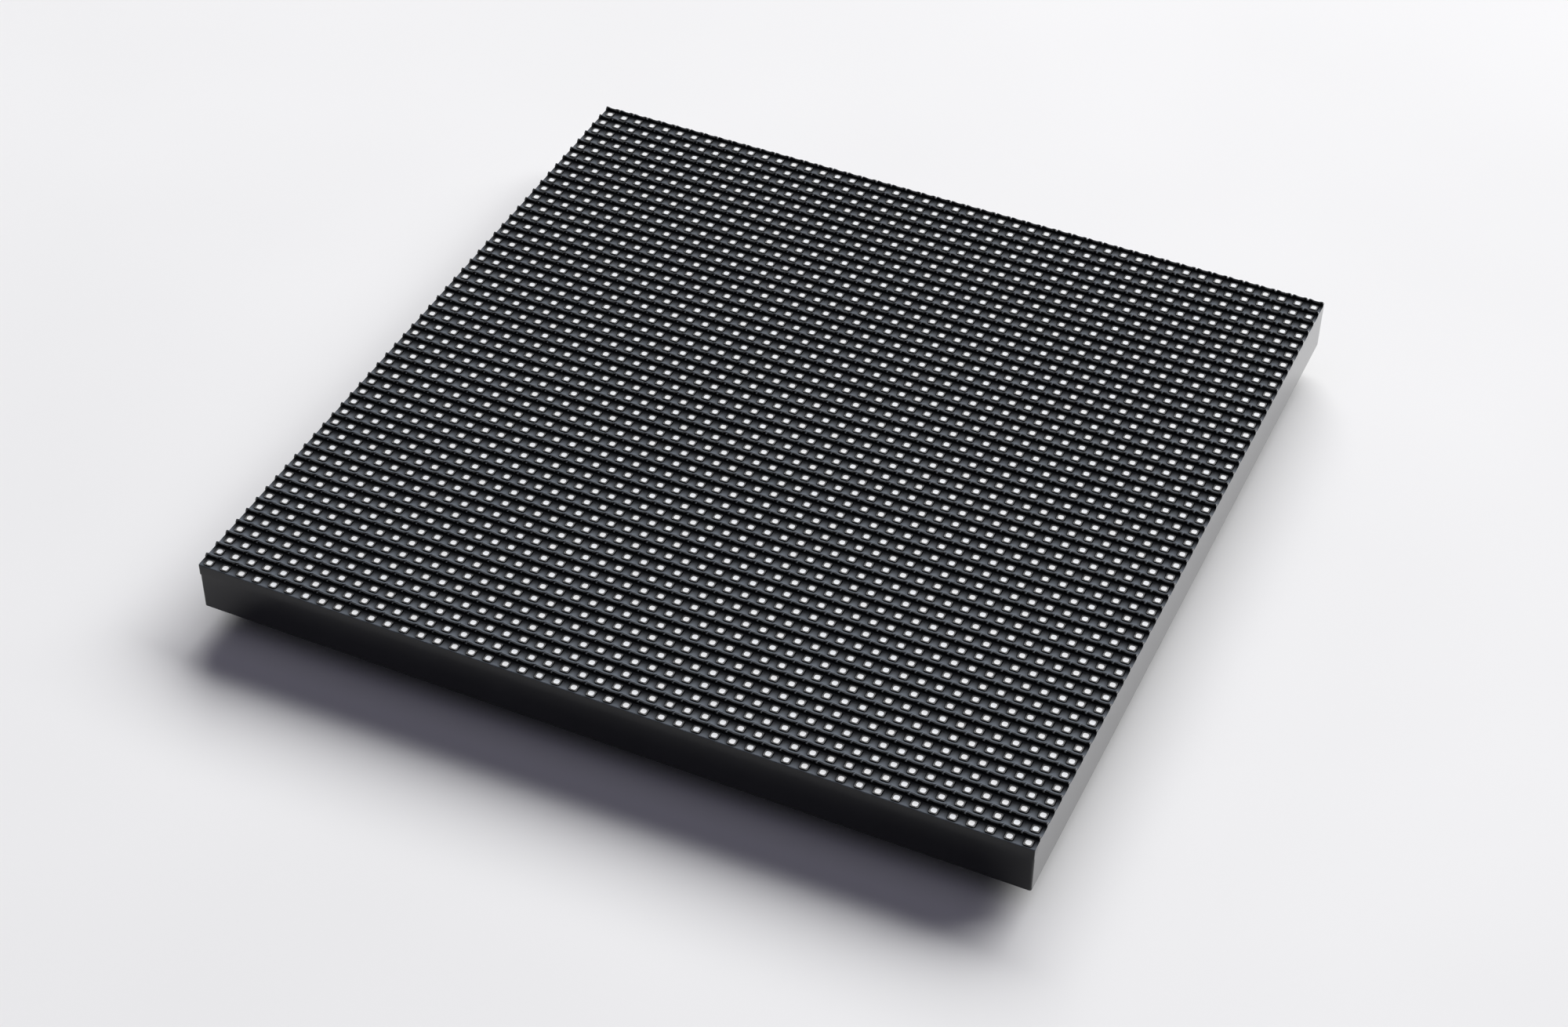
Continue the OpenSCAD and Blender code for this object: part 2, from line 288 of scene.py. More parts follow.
    def bevel(self, test: EdgeTest, width: float, steps: int = 1) -> None:
        """Rounds the edges that pass a test, or chamfers them in one step."""
        self.pick_edges(test)
        bpy.ops.mesh.bevel(offset=width, segments=steps, affect="EDGES")

    def extrude(self, rise: float) -> None:
        """Draws the selected edges out along Z."""
        bpy.ops.mesh.extrude_edges_move(TRANSFORM_OT_translate={"value": (0.0, 0.0, rise)})

    def taper(self, share: float, at: Triple) -> None:
        """Narrows or widens on the plan what is selected."""
        bpy.ops.transform.resize(value=(share, share, 1.0), center_override=at)

    def flatten(self, z: float) -> None:
        """Brings all that is selected to one level."""
        bpy.ops.transform.resize(value=(1.0, 1.0, 0.0), center_override=(0.0, 0.0, z))

    def slope_in(self, depth: float, width: float, at: Triple) -> None:
        """Draws the selected outline, of a given width and middle, down and inwards by one depth."""
        self.extrude(-depth)
        self.taper(1.0 - 2.0 * depth / width, at)

    def draw_out(self, start: Ring, rings: Sequence[Ring], at: Spot = (0.0, 0.0)) -> None:
        """Draws the selected round outline out through a row of rings.

        Args:
            start: The outline's radius and level.
            rings: The radius and level of each ring that follows.
            at: The outline's middle on the plan.
        """
        radius, level = start
        for wider, further in rings:
            self.extrude(further - level)
            self.taper(wider / radius, (*at, further))
            radius, level = wider, further

    def rounded_square(self, size: float, radius: float, at: Triple) -> None:
        """Draws the open outline of a flat square with rounded corners.

        Args:
            size: Length of its side.
            radius: Radius of its corners.
            at: Its middle.
        """
        self.deselect(Pick.CORNERS)
        bpy.ops.mesh.primitive_plane_add(size=size, location=at)
        bpy.ops.mesh.bevel(offset=radius, segments=self.ROUND_STEPS, affect="VERTICES")
        reach = (size / 2 + NEAR, size / 2 + NEAR, NEAR)

        def within(corner: bmesh.types.BMVert) -> bool:
            """Whether a corner lies in the square."""
            return all(abs(corner.co[axis] - at[axis]) < reach[axis] for axis in range(3))

        self.open_faces(lambda face: all(within(corner) for corner in face.verts))

    def move(self, test: PlaceTest, by: Triple) -> None:
        """Moves the corners whose place passes a test."""
        if self.pick_corners(test):
            bpy.ops.transform.translate(value=by)

    def face_outwards(self) -> None:
        """Selects all and turns every face outwards."""
        bpy.ops.mesh.select_all(action="SELECT")
        bpy.ops.mesh.normals_make_consistent(inside=False)

    def tile(self, pitch: float, columns: int, rows: int) -> None:
        """Repeats the piece along X, then along Y, and joins the copies where they meet.

        Args:
            pitch: The way from one copy to the next.
            columns: How many there are along X.
            rows: How many there are along Y.
        """
        bpy.ops.object.mode_set(mode="OBJECT")
        bpy.context.view_layer.objects.active = self.obj
        for offset, count in (((pitch, 0.0, 0.0), columns), ((0.0, pitch, 0.0), rows)):
            repeat = self.obj.modifiers.new("repeat", "ARRAY")
            repeat.use_relative_offset = False
            repeat.use_constant_offset = True
            repeat.constant_offset_displace = offset
            repeat.count = count
            repeat.use_merge_vertices = True
            repeat.merge_threshold = NEAR
            bpy.ops.object.modifier_apply(modifier=repeat.name)
        bpy.ops.object.mode_set(mode="EDIT")

    def spread(self, spots: Sequence[Spot]) -> None:
        """Puts a copy of the piece at each spot, from the one that was modelled on the Z axis.

        Args:
            spots: Places on the plan.
        """
        bpy.ops.object.mode_set(mode="OBJECT")
        first = self.obj
        copies = []
        for x, y in spots:
            copy = first.copy()
            copy.data = first.data.copy()
            copy.data.transform(Matrix.Translation((x, y, 0.0)))
            bpy.context.scene.collection.objects.link(copy)
            copies.append(copy)
        bpy.data.objects.remove(first)
        bpy.ops.object.select_all(action="DESELECT")
        for copy in copies:
            copy.select_set(True)
        bpy.context.view_layer.objects.active = copies[0]
        bpy.ops.object.join()
        self.take()

    def paint(self, *finishes: Material) -> None:
        """Gives the piece its finishes, the first of which goes all over."""
        for finish in finishes:
            self.obj.data.materials.append(finish)

    def paint_second(self, test: FaceTest) -> None:
        """Gives some faces the second finish.

        Args:
            test: Takes a face, and says whether it is one of them.
        """
        self.pick_faces(test)
        self.obj.active_material_index = 1
        bpy.ops.object.material_slot_assign()

    def finish(self, slot: str) -> Object:
        """Turns the piece to metres, shades it and seats it on the one body.

        Args:
            slot: The record's material slot's name; not used.

        Returns:
            The finished object, at the origin.
        """
        bpy.ops.mesh.select_all(action="SELECT")
        bpy.ops.transform.resize(value=(MM, MM, MM), center_override=(0.0, 0.0, 0.0))
        bpy.ops.object.mode_set(mode="OBJECT")
        bpy.ops.object.select_all(action="DESELECT")
        self.obj.select_set(True)
        bpy.context.view_layer.objects.active = self.obj
        bpy.ops.object.shade_smooth_by_angle(angle=math.radians(SMOOTH_DEG))
        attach(self.obj, "root")
        LOG.info("%s: %d faces", self.piece, len(self.obj.data.polygons))
        return self.obj


class NodeBoard:
    """A material's node tree, with the nodes that the finishes share."""

    def __init__(self, name: str) -> None:
        """Starts a material that has a Principled shader and Object coordinates.

        Args:
            name: The material's name.
        """
        self.material = bpy.data.materials.new(name)
        self.material.use_nodes = True
        self.tree = self.material.node_tree
        self.tree.nodes.clear()
        self.shader = self.node("BsdfPrincipled")
        self.link(self.shader.outputs["BSDF"], self.node("OutputMaterial").inputs["Surface"])
        self.place = self.node("TexCoord").outputs["Object"]

    def node(self, kind: str, *sources: Socket) -> Node:
        """Adds a node.

        Args:
            kind: What follows ShaderNode in its type.
            sources: What is led into its first sockets.

        Returns:
            The node.
        """
        node = self.tree.nodes.new(f"ShaderNode{kind}")
        for source, target in zip(sources, node.inputs):
            self.link(source, target)
        return node

    def link(self, source: Socket, target: Socket) -> None:
        """Joins two sockets."""
        self.tree.links.new(source, target)

    def drive(self, name: str, source: Socket) -> None:
        """Leads a pattern into a socket of the shader."""
        self.link(source, self.shader.inputs[name])

    def fix(self, values: dict[str, float]) -> None:
        """Sets sockets of the shader that are the same all over."""
        for name, value in values.items():
            self.shader.inputs[name].default_value = value

    def noise(self, grain: float, detail: float = 2.0, stretch: Triple = (1.0, 1.0, 1.0)) -> Socket:
        """A cloudy pattern.

        Args:
            grain: Size of its blots in millimetres.
            detail: How many finer layers it has.
            stretch: How far it is drawn out along each axis.

        Returns:
            The pattern's value from 0 to 1.
        """
        mapping = self.node("Mapping", self.place)
        mapping.inputs["Scale"].default_value = [1.0 / s for s in stretch]
        pattern = self.node("TexNoise", mapping.outputs["Vector"])
        pattern.inputs["Scale"].default_value = 1.0 / (grain * MM)
        pattern.inputs["Detail"].default_value = detail
        return pattern.outputs[0]

    def spread(self, value: Socket, low: float, high: float, over: Span = (0.3, 0.7)) -> Socket:
        """Spreads a pattern over a range.

        Args:
            value: The pattern.
            low: What it gives where the range starts, and before.
            high: What it gives where the range ends, and beyond.
            over: Where the range starts and ends on the pattern.

        Returns:
            The new value.
        """
        node = self.node("MapRange", value)
        node.inputs["From Min"].default_value, node.inputs["From Max"].default_value = over
        node.inputs["To Min"].default_value = low
        node.inputs["To Max"].default_value = high
        return node.outputs["Result"]

    def roughen(self, pattern: Socket, middle: float, share: float) -> None:
        """Lets the roughness follow a pattern, by a share to either side of its middle."""
        self.drive("Roughness", self.spread(pattern, middle * (1.0 - share), middle * (1.0 + share)))

    def blend(self, share: Socket, one: Colour | Socket, other: Colour) -> Socket:
        """Mixes two colours by a pattern.

        Args:
            share: 0 for the one, 1 for the other.
            one: The first colour, plain or mixed before.
            other: The second.

        Returns:
            The mixed colour.
        """
        node = self.node("Mix")
        node.data_type = "RGBA"
        if isinstance(one, tuple):
            node.inputs["A"].default_value = (*one, 1.0)
        else:
            self.link(one, node.inputs["A"])
        node.inputs["B"].default_value = (*other, 1.0)
        self.link(share, node.inputs["Factor"])
        return node.outputs["Result"]

    def bump(self, height: Socket, depth: float) -> None:
        """Gives the surface a fine relief.

        Args:
            height: The pattern of the relief.
            depth: How deep it is, in millimetres.
        """
        node = self.node("Bump")
        node.inputs["Strength"].default_value = 1.0
        node.inputs["Distance"].default_value = depth * MM
        self.link(height, node.inputs["Height"])
        self.drive("Normal", node.outputs["Normal"])

    def vector(self, operation: str, way: Socket, *values: Sequence[float]) -> Node:
        """Works on a way.

        Args:
            operation: What is done.
            way: The way.
            values: The other vectors that the operation takes.

        Returns:
            The node.
        """
        node = self.node("VectorMath", way)
        node.operation = operation
        for socket, value in zip(node.inputs[1:], values):
            socket.default_value = value
        return node

    def cell(self, pitch: float, origin: Triple) -> Socket:
        """The place within a repeated square cell.

        Args:
            pitch: Side of the cell in millimetres.
            origin: Middle of one cell in millimetres.

        Returns:
            The way from the cell's middle on the plan, in metres.
        """
        reach = pitch / 2 * MM
        shift = self.vector("SUBTRACT", self.place, [o * MM for o in origin])
        wrap = self.vector("WRAP", shift.outputs["Vector"], [reach] * 3, [-reach] * 3)
        return self.vector("MULTIPLY", wrap.outputs["Vector"], (1.0, 1.0, 0.0)).outputs["Vector"]

    def lot(self, pitch: float, origin: Triple) -> Socket:
        """A number drawn by lot for each cell of a square grid.

        Args:
            pitch: Side of the cell in millimetres.
            origin: Middle of one cell in millimetres.

        Returns:
            The number, from 0 to 1.
        """
        shift = self.vector("SUBTRACT", self.place, [(o - pitch / 2) * MM for o in origin])
        snap = self.vector("SNAP", shift.outputs["Vector"], (pitch * MM, pitch * MM, 1.0))
        return self.node("TexWhiteNoise", snap.outputs["Vector"]).outputs["Value"]

    def length(self, way: Socket) -> Socket:
        """The length of a way."""
        return self.vector("LENGTH", way).outputs["Value"]

    def towards_top(self, way: Socket) -> Socket:
        """The part of a way that leads along +Y."""
        return self.node("SeparateXYZ", way).outputs["Y"]

    def times(self, one: Socket, other: Socket) -> Socket:
        """Multiplies two values.

        Args:
            one: The first.
            other: The second.

        Returns:
            Their product.
        """
        node = self.node("Math", one, other)
        node.operation = "MULTIPLY"
        return node.outputs["Value"]


@dataclass(frozen=True)
class Finish:
    """A finish, from which a material is made."""

    name: str

    def lay(self, board: NodeBoard) -> None:
        """Sets up the nodes, in each finish's own way."""
        raise NotImplementedError

    def material(self) -> Material:
        """Makes the finish's material.

        Returns:
            The material.
        """
        board = NodeBoard(self.name)
        self.lay(board)
        return board.material


@dataclass(frozen=True)
class MouldedPlastic(Finish):
    """Moulded plastic with a fine eroded grain, faint mottling and a little dust."""

    colour: Colour
    roughness: float
    rough_share: float = 0.12
    grain: float = 0.25
    relief: float = 0.004
    mottle: float = 18.0
    mottle_share: float = 0.18
    dust: Colour = (0.2, 0.19, 0.18)
    dust_share: float = 0.06
    dust_grains: float = 3.0
    dust_over: Span = (0.55, 0.8)
    gloss: float = 0.5
    coat: float = 0.0
    coat_ior: float = 1.25
    coat_roughness: float = 0.12

    def lay(self, board: NodeBoard) -> None:
        """Sets up the nodes.

        Args:
            board: The material's board.
        """
        clouds = board.noise(self.mottle, detail=3.0)
        body = board.blend(board.spread(clouds, 0.0, 1.0), *shades(self.colour, self.mottle_share))
        specks = board.noise(self.grain * self.dust_grains, detail=4.0)
        dust = board.spread(specks, 0.0, self.dust_share, self.dust_over)
        board.drive("Base Color", board.blend(dust, body, self.dust))
        board.roughen(clouds, self.roughness, self.rough_share)
        board.fix({"IOR": PLASTIC_IOR, "Specular IOR Level": self.gloss, "Coat Weight": self.coat})
        board.fix({"Coat IOR": self.coat_ior, "Coat Roughness": self.coat_roughness})
        board.bump(board.noise(self.grain), self.relief)


@dataclass(frozen=True)
class DustAndShadeFace(Finish):
    """Matte face of the mask with painted shade: dark close to each LED and towards its louvre, where the
    louvre's shadow and the shade of the window's recess are painted, and lighter below the LED, where dust
    and painted light are laid on.

    The ring of painted shade spans a distance from the LED, and the rise, the louvre's painted shadow,
    spans a way along Y, in millimetres.
    """

    pitch: float
    origin: Triple
    # Bare black plastic where the painted shade lies, and the lighter tone of dust with painted light below
    # each LED.
    bare_and_shaded: Colour = (0.0065, 0.007, 0.0083)
    dusty_and_lit: Colour = (0.097, 0.111, 0.131)
    shade_ring: Span = (1.2, 1.85)
    shade_ring_low: float = 0.3
    rise: Span = (0.45, -1.1)
    louvre_shade_low: float = 0.1
    patch: float = 9.0
    patch_low: float = 0.84
    roughness: float = 0.6
    rough_share: float = 0.08
    rough_patch: float = 14.0
    gloss: float = 0.12
    grain: float = 0.25
    relief: float = 0.004

    def lay(self, board: NodeBoard) -> None:
        """Sets up the nodes.

        Args:
            board: The material's board.
        """
        # Painted shade: a dark ring round each LED's window, and the louvre's painted shadow along Y;
        # patches of real dust vary the rest.
        way = board.cell(self.pitch, self.origin)
        top = board.towards_top(way)
        rise = board.spread(top, self.louvre_shade_low, 1.0, (self.rise[0] * MM, self.rise[1] * MM))
        shade_ring = board.spread(board.length(way), self.shade_ring_low, 1.0, (self.shade_ring[0] * MM, self.shade_ring[1] * MM))
        patches = board.spread(board.noise(self.patch, detail=4.0), self.patch_low, 1.0)
        # The mix is the painted shade of the ring and the rise, times the patches of dust.
        dust = board.times(board.times(rise, shade_ring), patches)
        board.drive("Base Color", board.blend(dust, self.bare_and_shaded, self.dusty_and_lit))
        board.roughen(board.noise(self.rough_patch), self.roughness, self.rough_share)
        board.fix({"IOR": PLASTIC_IOR, "Specular IOR Level": self.gloss})
        board.bump(board.noise(self.grain), self.relief)


@dataclass(frozen=True)
class LedResin(Finish):
    """Pale resin in the cup of an LED, a little different from one LED to the next."""

    pitch: float
    origin: Triple
    colour: Colour = (0.8, 0.82, 0.835)
    cream: Colour = (0.79, 0.79, 0.78)
    roughness: float = 0.5
    rough_share: float = 0.2
    gloss: float = 0.2
    ripple: float = 0.7
    relief: float = 0.01

    def lay(self, board: NodeBoard) -> None:
        """Sets up the nodes.

        Args:
            board: The material's board.
        """
        lot = board.lot(self.pitch, self.origin)
        board.drive("Base Color", board.blend(lot, self.colour, self.cream))
        ripple = board.noise(self.ripple, detail=1.0)
        board.roughen(ripple, self.roughness, self.rough_share)
        board.fix({"IOR": PLASTIC_IOR, "Specular IOR Level": self.gloss})
        board.bump(ripple, self.relief)


@dataclass(frozen=True)
class Metal(Finish):
    """Bare or plated metal with fine drawn marks and a little tarnish."""

    colour: Colour
    tarnish: Colour
    roughness: float
    rough_share: float = 0.25
    stain: float = 2.5
    stain_share: float = 0.6
    stain_over: Span = (0.45, 0.75)
    grain: float = 0.12
    stretch: Triple = (1.0, 1.0, 6.0)
    relief: float = 0.003

    def lay(self, board: NodeBoard) -> None:
        """Sets up the nodes.

        Args:
            board: The material's board.
        """
        stain = board.spread(board.noise(self.stain, detail=3.0), 0.0, self.stain_share, self.stain_over)
        board.drive("Base Color", board.blend(stain, self.colour, self.tarnish))
        marks = board.noise(self.grain, stretch=self.stretch)
        board.roughen(marks, self.roughness, self.rough_share)
        board.fix({"Metallic": 1.0})
        board.bump(marks, self.relief)


@dataclass(frozen=True)
class SolderMask(Finish):
    """Lacquered circuit board with faint tracks, and the weave of its glass cloth in relief."""

    colour: Colour
    trace: Colour
    roughness: float
    rough_share: float = 0.15
    rough_patch: float = 6.0
    track: float = 1.2
    track_stretch: Triple = (4.0, 1.0, 1.0)
    track_over: Span = (0.5, 0.53)
    weave: float = 0.35
    relief: float = 0.005

    def lay(self, board: NodeBoard) -> None:
        """Sets up the nodes.

        Args:
            board: The material's board.
        """
        lines = board.noise(self.track, detail=1.0, stretch=self.track_stretch)
        tracks = board.spread(lines, 0.0, 1.0, self.track_over)
        board.drive("Base Color", board.blend(tracks, self.colour, self.trace))
        board.roughen(board.noise(self.rough_patch), self.roughness, self.rough_share)
        board.bump(board.noise(self.weave, detail=1.0), self.relief)


@dataclass(frozen=True)
class Cloth(Finish):
    """Plain pale cover of the table, hardly patterned."""

    colour: Colour
    patch: float = 120.0
    patch_share: float = 0.015
    roughness: float = 0.95
    gloss: float = 0.1

    def lay(self, board: NodeBoard) -> None:
        """Sets up the nodes.

        Args:
            board: The material's board.
        """
        patches = board.spread(board.noise(self.patch), 0.0, 1.0)
        board.drive("Base Color", board.blend(patches, *shades(self.colour, self.patch_share)))
        board.fix({"Roughness": self.roughness, "Specular IOR Level": self.gloss})


# The mouldings that make up the outer casing are smoother and shinier than the rest.
POLISHED = {"relief": 0.002, "dust_share": 0.02, "gloss": 0.15, "coat": 1.0}
# The mask's upright sides are kept near-black, darker than its face, partly as painted shade.
MASK_BLACK = MouldedPlastic("mask_black", (0.006, 0.0062, 0.0075), 0.16, **POLISHED)
COVER_BLACK = MouldedPlastic("cover_black", (0.0065, 0.0067, 0.008), 0.16, **POLISHED)
PACKAGE_BLACK = MouldedPlastic("led_package", (0.01, 0.01, 0.011), 0.55, grain=0.1)
HEADER_BLACK = MouldedPlastic("header_black", (0.02, 0.02, 0.022), 0.42, mottle=6.0)
HEADER_IVORY = MouldedPlastic("header_ivory", (0.74, 0.71, 0.62), 0.45, mottle=6.0, dust=(0.5, 0.48, 0.42))
SILICONE_GREY = MouldedPlastic("silicone_grey", (0.055, 0.056, 0.058), 0.7, grain=0.4, relief=0.008)
CHIP_EPOXY = MouldedPlastic("chip_epoxy", (0.024, 0.025, 0.027), 0.6, grain=0.15, mottle=4.0)
CERAMIC = MouldedPlastic("capacitor_ceramic", (0.4, 0.28, 0.17), 0.5, grain=0.1, mottle=1.5)
RESISTOR = MouldedPlastic("resistor_film", (0.035, 0.035, 0.04), 0.35, grain=0.1, mottle=1.5)
INSERT_BRASS = Metal("insert_brass", (0.72, 0.53, 0.24), (0.45, 0.3, 0.13), 0.32)
SCREW_STEEL = Metal("screw_steel", (0.56, 0.57, 0.58), (0.4, 0.4, 0.4), 0.3)
PIN_GOLD = Metal("pin_gold", (0.8, 0.62, 0.3), (0.65, 0.48, 0.22), 0.22)
PIN_TIN = Metal("pin_tin", (0.68, 0.68, 0.68), (0.5, 0.5, 0.5), 0.25)
CAN_ALUMINIUM = Metal("can_aluminium", (0.75, 0.76, 0.77), (0.6, 0.6, 0.6), 0.3)
BOARD_GREEN = SolderMask("board_laminate", (0.012, 0.05, 0.028), (0.02, 0.075, 0.04), 0.35)


@dataclass
class DisplayGrid:
    """The square grid on which LEDs, windows and louvres lie, and the levels they share."""

    pitch: float = 4.0
    columns: int = 48
    rows: int = 48
    drop: float = 0.45
    panel: float = 191.8
    z_lip: float = 15.6
    z_board: float = 17.2
    z_floor: float = 18.4
    z_led: float = 18.5
    screw_xs: tuple[float, ...] = (-72.0, -24.0, 24.0, 72.0)
    screw_ys: tuple[float, ...] = (-88.0, -40.0, 40.0, 88.0)

    def edge(self) -> float:
        """How far the panel's sides lie from its middle."""
        return self.panel / 2

    def screw_spots(self) -> list[Spot]:
        """The places of the screws, each midway between four LEDs."""
        return [(x, y - self.drop) for x in self.screw_xs for y in self.screw_ys]

    def first(self, half: Half) -> Spot:
        """The place of a half's first LED, at its lower left."""
        x0 = -(self.columns - 1) / 2 * self.pitch if half is Half.LEFT else self.pitch / 2
        return x0, -(self.rows - 1) / 2 * self.pitch - self.drop

    def origin(self) -> Triple:
        """The middle of the cell of the lower left LED."""
        return (*self.first(Half.LEFT), 0.0)


@dataclass
class LouvreMask(Handwork):
    """The moulded mask: a window round each LED, and a notched louvre above each row.

    A cell is modelled with its LED at the origin. The louvre's foot, crest and slope are places on Y,
    and the scoop's and notch's sizes are distances on X, from the middle or from the cell's side.
    The field outer is where the outer side of the half under work lies on X.
    """

    grid: DisplayGrid
    window: float = 2.4
    window_r: float = 0.55
    chamfer: float = 0.2
    foot: float = 1.25
    crest: float = 1.33
    crest_back: float = 1.63
    slope_foot: float = 2.73
    height: float = 1.05
    scoop_half: float = 0.6
    scoop_end: float = 1.2
    scoop_back: float = 0.14
    scoop_share: float = 0.7
    notch_top: float = 0.3
    notch_floor: float = 0.18
    notch_level: float = 0.5
    corner_r: float = 0.5
    corner_steps: int = 4
    edge_r: float = 0.2
    edge_steps: int = 3
    lip: float = 0.45
    pillar_r: float = 1.3
    pillar_bore: float = 0.85
    pillar_low: float = 10.1
    pillar_sides: int = 24
    face_slant: float = 0.5
    outer: float = 0.0

    def near(self) -> float:
        """Where a cell starts: at the foot of the louvre below its LED."""
        return self.slope_foot - self.grid.pitch

    def cell(self) -> None:
        """Models one cell: the floor with its window, the louvre above it and the underside."""
        half = self.grid.pitch / 2
        notch = (half - self.notch_top, half - self.notch_floor)
        columns = [side * x for x in (self.scoop_half, self.scoop_end, *notch) for side in (-1.0, 1.0)]
        self.plane(self.grid.pitch, (0.0, self.near() + half, self.grid.z_floor))
        self.cut(1, self.foot, lambda c: True)
        for y in (self.crest, self.crest_back):
            self.cut(1, y, lambda c: c.y > self.foot)
        for x in columns:
            self.cut(0, x, lambda c: c.y > self.foot)
        self.open_window(columns)
        self.raise_louvre(notch)
        self.close_below()

    def open_window(self, columns: Sequence[float]) -> None:
        """Opens the rounded window in the cell's floor and sinks its walls to the board.

        Args:
            columns: Where the louvre is cut along X; the floor's near edge is cut there too.
        """
        half, near, z = self.grid.pitch / 2, self.near(), self.grid.z_floor
        sides = ((0, -half), (0, half), (1, near), (1, self.foot))
        reach = self.window / 2 + NEAR

        def floor_rim(edge: Edge) -> bool:
            """Whether an edge bounds the cell's floor."""
            before = all(corner.co.y < self.foot + NEAR for corner in edge.verts)
            return before and any(in_plane(edge, axis, place) for axis, place in sides)

        def window_rim(edge: Edge) -> bool:
            """Whether an edge lies on the window's outline."""
            return all(max(abs(corner.co.x), abs(corner.co.y)) < reach for corner in edge.verts)

        self.open_faces(lambda face: face.calc_center_median().y < self.foot)
        for x in columns:
            self.pick_edges(lambda edge: in_plane(edge, 1, near))
            self.bisect(0, x)
        self.rounded_square(self.window, self.window_r, (0.0, 0.0, z))
        self.bridge(lambda edge: floor_rim(edge) or window_rim(edge))
        self.pick_edges(lambda edge: window_rim(edge) and edge.is_boundary)
        self.slope_in(self.chamfer, self.window, (0.0, 0.0, z))
        self.extrude(self.grid.z_board - z + self.chamfer)

    def raise_louvre(self, notch: Span) -> None:
        """Raises the louvre, scoops it out above the LED and leaves its notches low.

        Args:
            notch: How far the notch's upper and lower edges lie from the cell's middle.
        """
        level = self.grid.z_floor - NEAR

        def on(y: float, low: float, high: float) -> PlaceTest:
            """A test for corners of one line that lie between two distances from the middle."""
            return lambda c: abs(c.y - y) < NEAR and low - NEAR < abs(c.x) < high + NEAR and c.z > level

        middle, tall = (0.0, self.scoop_half), (self.scoop_end, notch[0])
        low = (notch[1], self.grid.pitch / 2)
        for y in (self.crest_back, self.crest):
            self.move(on(y, *low), (0.0, 0.0, self.notch_level))
            self.move(on(y, *tall), (0.0, 0.0, self.height))
            self.move(on(y, *middle), (0.0, self.scoop_back, self.height * self.scoop_share))
        self.move(on(self.foot, *middle), (0.0, self.scoop_back, 0.0))

    def close_below(self) -> None:
        """Closes the cell's underside round the foot of its window."""
        pitch, z = self.grid.pitch, self.grid.z_board
        self.deselect(Pick.CORNERS)
        bpy.ops.mesh.primitive_plane_add(size=pitch, location=(0.0, self.near() + pitch / 2, z))
        bpy.ops.mesh.delete(type="ONLY_FACE")
        self.bridge(lambda edge: in_plane(edge, 2, z))

    def half(self, half: Half, finishes: Sequence[Material]) -> None:
        """Models one half of the mask, which stands for the solid mask together with the other.

        Args:
            half: Which half.
            finishes: The finish of its upright sides, then that of its face.
        """
        grid = self.grid
        x0, y0 = grid.first(half)
        self.begin(f"mask_{half.value}")
        self.cell()
        self.move(lambda c: True, (x0, y0 - grid.pitch, 0.0))
        self.tile(grid.pitch, grid.columns // 2, grid.rows + 1)
        self.outer = math.copysign(grid.edge(), x0)
        self.trim(0, self.outer)
        self.trim(1, grid.edge())
        self.trim(1, -grid.edge())
        if self.pick_corners(lambda c: c.y < y0 + self.near() - NEAR and c.z > grid.z_floor):
            self.flatten(grid.z_floor)
        self.outer_walls()
        self.inner_walls()
        self.pillars()
        self.paint(*finishes)
        # Up-facing faces take the lighter face finish, dust with painted light; the upright sides keep the
        # near-black finish, partly as painted shade.
        self.paint_second(lambda face: face.normal.z > self.face_slant)
        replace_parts(self.finish("mask_black"), "louvre_mask")

    def outer_walls(self) -> None:
        """Draws the outer walls down to the rear cover and rounds their corners."""
        grid = self.grid
        edge = grid.edge()

        def at_end(e: Edge) -> bool:
            """Whether an edge lies on the upper or lower side."""
            return in_plane(e, 1, edge) or in_plane(e, 1, -edge)

        def rim(e: Edge) -> bool:
            """Whether an edge is on the face's open outline."""
            above = all(corner.co.z > grid.z_board + NEAR for corner in e.verts)
            return e.is_boundary and above and (in_plane(e, 0, self.outer) or at_end(e))

        def front_rim(e: Edge) -> bool:
            """Whether an edge lies where the front wall meets the floor."""
            front = all(corner.co.y < self.corner_r - edge for corner in e.verts)
            wall = any(abs(f.normal.z) < STEEP for f in e.link_faces)
            return front and wall and in_plane(e, 2, grid.z_floor)

        self.pick_edges(rim)
        self.extrude(grid.z_lip - grid.z_led)
        self.flatten(grid.z_lip)
        self.bevel(lambda e: in_plane(e, 0, self.outer) and at_end(e), self.corner_r, self.corner_steps)
        self.bevel(front_rim, self.edge_r, self.edge_steps)

    def inner_walls(self) -> None:
        """Hollows the underside inside the lip and closes the cut between the halves."""
        grid = self.grid
        inner = grid.edge() - self.lip
        sides = ((0, math.copysign(inner, self.outer)), (1, inner), (1, -inner))

        def below(c: Vector) -> bool:
            """Whether a place lies on the underside."""
            return abs(c.z - grid.z_board) < NEAR

        def under_lip(face: Face) -> bool:
            """Whether a face of the underside lies outside the lip's inner side."""
            c = face.calc_center_median()
            return below(c) and max(abs(c.x), abs(c.y)) > inner

        def at_lip(edge: Edge) -> bool:
            """Whether an open edge of the underside lies along the lip's inner side."""
            open_below = edge.is_boundary and in_plane(edge, 2, grid.z_board)
            return open_below and any(in_plane(edge, axis, place) for axis, place in sides)

        for axis, place in sides:
            self.cut(axis, place, below)
        self.pick_faces(under_lip)
        bpy.ops.mesh.delete(type="FACE")
        self.pick_edges(at_lip)
        self.extrude(grid.z_lip - grid.z_board)
        self.bridge(lambda edge: edge.is_boundary and in_plane(edge, 2, grid.z_lip))
        self.pick_edges(lambda edge: edge.is_boundary and in_plane(edge, 0, 0.0))
        bpy.ops.mesh.edge_face_add()

    def pillars(self) -> None:
        """Draws the bored screw pillars out of the underside."""
        pitch, z = self.grid.pitch, self.grid.z_board
        low, bore = self.pillar_low, self.pillar_bore
        spots = [spot for spot in self.grid.screw_spots() if spot[0] * self.outer > 0.0]
        shift = self.slope_foot - pitch / 2

